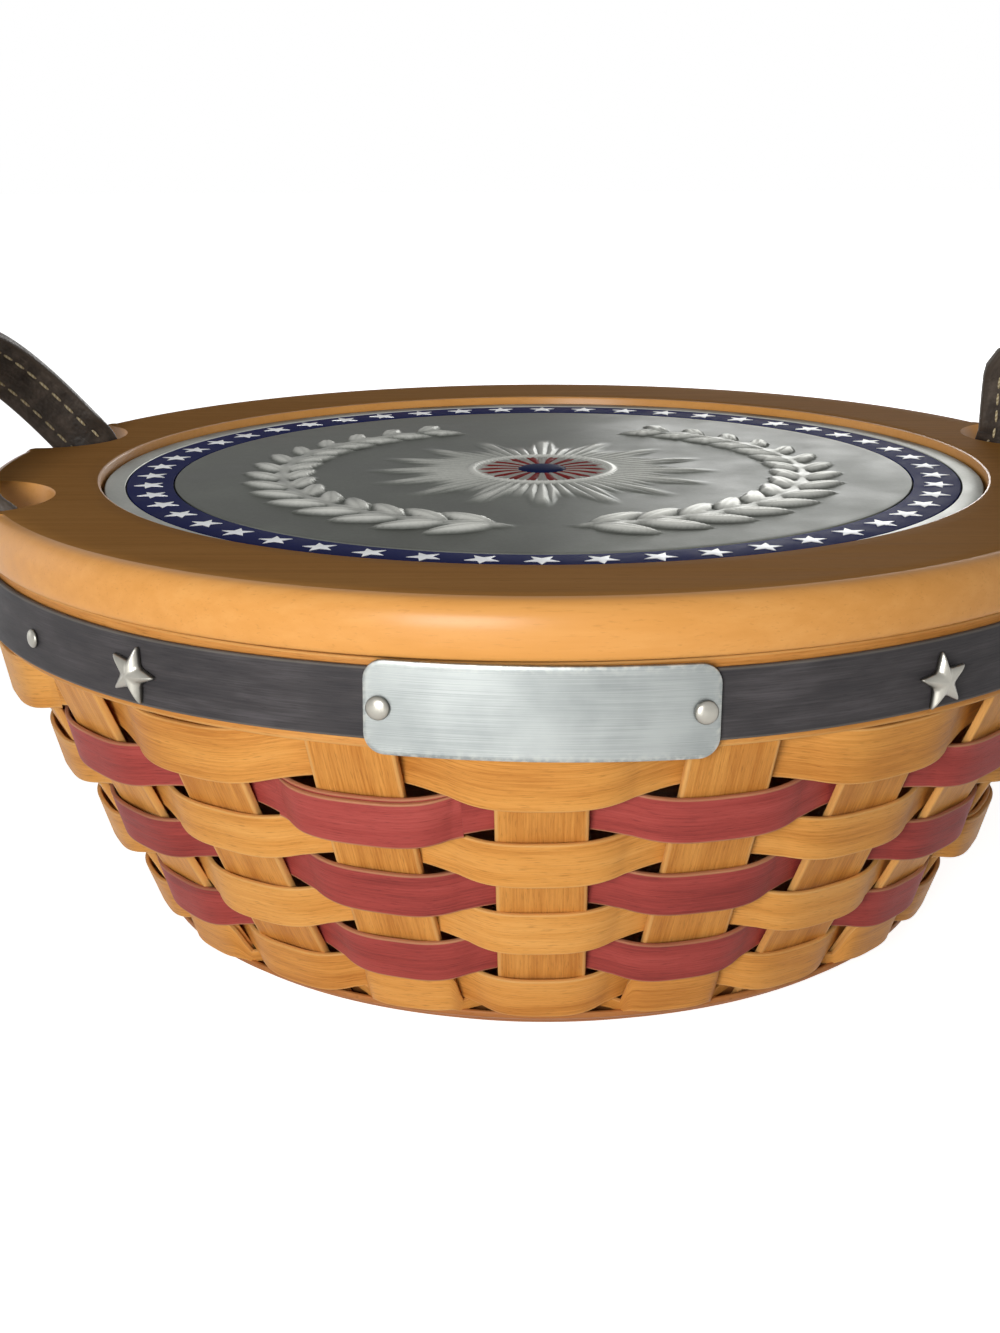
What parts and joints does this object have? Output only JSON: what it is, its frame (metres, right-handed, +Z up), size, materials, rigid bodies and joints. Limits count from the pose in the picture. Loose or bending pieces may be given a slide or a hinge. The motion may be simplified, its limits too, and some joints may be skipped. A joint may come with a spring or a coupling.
{
  "type": "splint basket",
  "caption": "Round flaring basket of woven wood splints with a banded rim, a turned lift-off lid with an inset medallion, and leather carrying handles at its sides.",
  "frame": {"origin": "centre of the base board's underside, on the basket's axis", "axes": "+Z up along the basket's axis, +X from the left handle to the right handle, -Y towards the tag plate at the front"},
  "size_m": [0.2765, 0.2439, 0.1292],
  "materials": {
    "turned_wood": "satin varnish",
    "natural_splint": "satin varnish",
    "red_splint": "red stain, satin varnish",
    "navy_stain": "dark navy stain",
    "leather": "dark brown, waxed",
    "pewter": "cast and antiqued",
    "brushed_metal": "fine brushed",
    "navy_enamel": "gloss"
  },
  "bodies": {
    "basket": {"base_board": "turned_wood", "rim_inner_band": "natural_splint", "rim_outer_band": "natural_splint", "trim_strip": "navy_stain", "tag_plate": "brushed_metal", "upright_01": "natural_splint", "upright_02": "natural_splint", "upright_03": "natural_splint", "upright_04": "natural_splint", "upright_05": "natural_splint", "upright_06": "natural_splint", "upright_07": "natural_splint", "upright_08": "natural_splint", "upright_09": "natural_splint", "upright_10": "natural_splint", "upright_11": "natural_splint", "upright_12": "natural_splint", "upright_13": "natural_splint", "upright_14": "natural_splint", "upright_15": "natural_splint", "upright_16": "natural_splint", "upright_17": "natural_splint", "upright_18": "natural_splint", "upright_19": "natural_splint", "upright_20": "natural_splint", "upright_21": "natural_splint", "upright_22": "natural_splint", "natural_weaver_01": "natural_splint", "natural_weaver_02": "natural_splint", "natural_weaver_03": "natural_splint", "natural_weaver_04": "natural_splint", "red_weaver_01": "red_splint", "red_weaver_02": "red_splint", "red_weaver_03": "red_splint", "plate_rivet_left": "pewter", "plate_rivet_right": "pewter", "star_tack_left": "pewter", "star_tack_right": "pewter", "round_tack_front_left": "pewter", "round_tack_front_right": "pewter", "round_tack_back_left": "pewter", "round_tack_back_right": "pewter", "strap_rivet_left_front": "pewter", "strap_rivet_left_back": "pewter", "strap_rivet_right_front": "pewter", "strap_rivet_right_back": "pewter", "strap_end_left_front": "leather", "strap_end_left_back": "leather", "strap_end_right_front": "leather", "strap_end_right_back": "leather"},
    "lid": {"lid_board": "turned_wood", "lid_medallion": "pewter", "medallion_enamel_ring": "navy_enamel"},
    "handle_left": {"handle_left": "leather"},
    "handle_right": {"handle_right": "leather"}
  },
  "joints": [
    {"name": "lid_lift", "type": "slide", "parent": "basket", "child": "lid", "axis": [0, 0, 1], "range_m": [0, 0.11]},
    {"name": "handle_left_swing", "type": "hinge", "parent": "basket", "child": "handle_left", "pos_m": [-0.1065, 0, 0.09055], "axis": [0, -1, 0], "range_deg": [-8, 28]},
    {"name": "handle_right_swing", "type": "hinge", "parent": "basket", "child": "handle_right", "pos_m": [0.1065, 0, 0.09055], "axis": [0, 1, 0], "range_deg": [-3, 42]}
  ]
}
